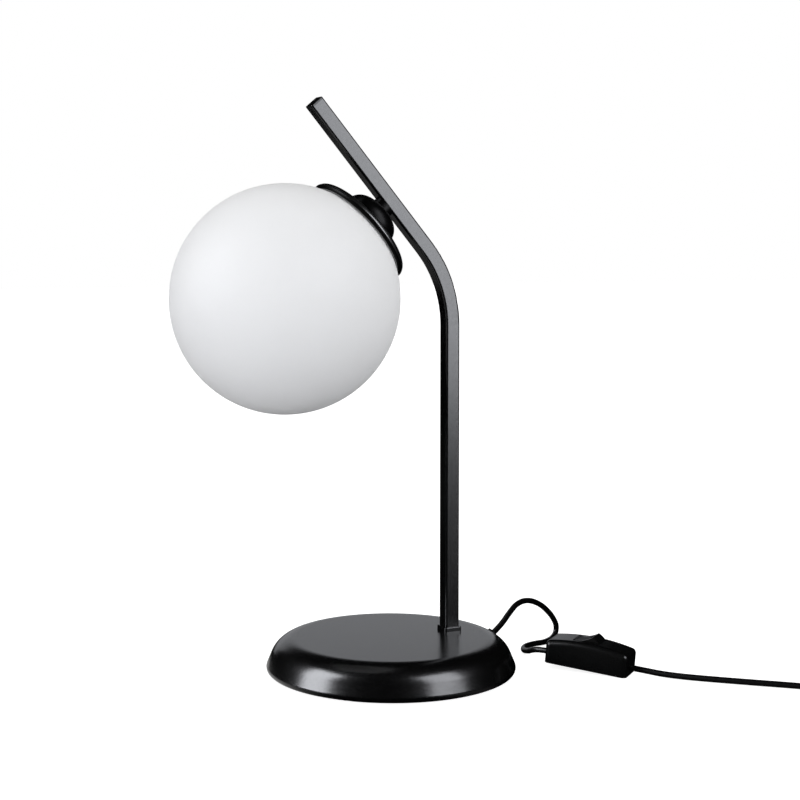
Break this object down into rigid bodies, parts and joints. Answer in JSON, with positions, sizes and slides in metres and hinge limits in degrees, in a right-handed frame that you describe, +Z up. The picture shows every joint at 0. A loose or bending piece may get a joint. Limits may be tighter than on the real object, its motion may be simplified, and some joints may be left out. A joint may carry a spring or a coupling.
{
  "type": "globe table lamp",
  "caption": "Table lamp with an opal glass globe hung under the leaning arm of a bent square stem on a round base, with a rocker switch in its cord.",
  "frame": {"origin": "centre of the base on the surface that it stands on", "axes": "+Z up, +X from the globe towards the stem and the cord exit, lamp symmetric about the XZ plane"},
  "size_m": [0.5251, 0.3355, 0.3828],
  "materials": {
    "black_coat": "satin black powder coat with a fine orange peel",
    "black_plastic": "satin black moulded plastic",
    "iron": "rough casting",
    "steel": "zinc plated",
    "foam": "matt soft foam",
    "opal_glass": "satin opal white, not see-through",
    "opal_plastic": "satin opal white",
    "white_plastic": "white moulded plastic",
    "bright_metal": "bright nickel plate",
    "brass": "plain brass",
    "cord": "satin black flexible sheath",
    "brown_wire": "brown insulation",
    "blue_wire": "blue insulation"
  },
  "bodies": {
    "lamp": {"ballast": "iron", "base_pad": "foam", "base_shell": "black_coat", "bottom_cover": "steel", "bulb_cap": "bright_metal", "bulb_collar": "white_plastic", "bulb_glass": "opal_plastic", "bulb_tip": "brass", "clip_rivets": "steel", "cord_base_to_switch": "cord", "cord_bushing": "black_plastic", "cord_clamp": "black_plastic", "cord_coil": "cord", "cord_plug_tail": "cord", "cord_switch_to_coil": "cord", "cord_tail": "cord", "cover_screws": "steel", "fitter_plate": "black_coat", "fixing_screws": "steel", "globe": "opal_glass", "globe_clip_1": "steel", "globe_clip_2": "steel", "globe_clip_3": "steel", "head_nut": "steel", "head_spacer": "black_coat", "head_stud": "steel", "holder_cup": "black_coat", "lamp_holder_cap": "black_plastic", "lamp_holder_contact": "brass", "lamp_holder_insert": "white_plastic", "lamp_holder_skirt": "black_plastic", "lamp_holder_sleeve": "bright_metal", "plug_body": "black_plastic", "plug_pins": "bright_metal", "stem_cap": "black_plastic", "stem_foot": "black_coat", "stem_nut": "steel", "stem_tube": "black_coat", "stem_washer": "steel", "switch_base": "black_plastic", "switch_contacts": "brass", "switch_cover": "black_plastic", "switch_pivot": "steel", "switch_screws": "steel", "switch_terminals": "brass", "terminal_block": "white_plastic", "terminal_screws": "steel", "wire_live": "brown_wire", "wire_neutral": "blue_wire"},
    "rocker": {"switch_rocker": "black_plastic"}
  },
  "joints": [
    {"name": "rocker_tilt", "type": "hinge", "parent": "lamp", "child": "rocker", "pos_m": [0.12089, -0.05671, 0.01339], "axis": [0.7694, 0.6388, 0], "range_deg": [0, 31]}
  ]
}
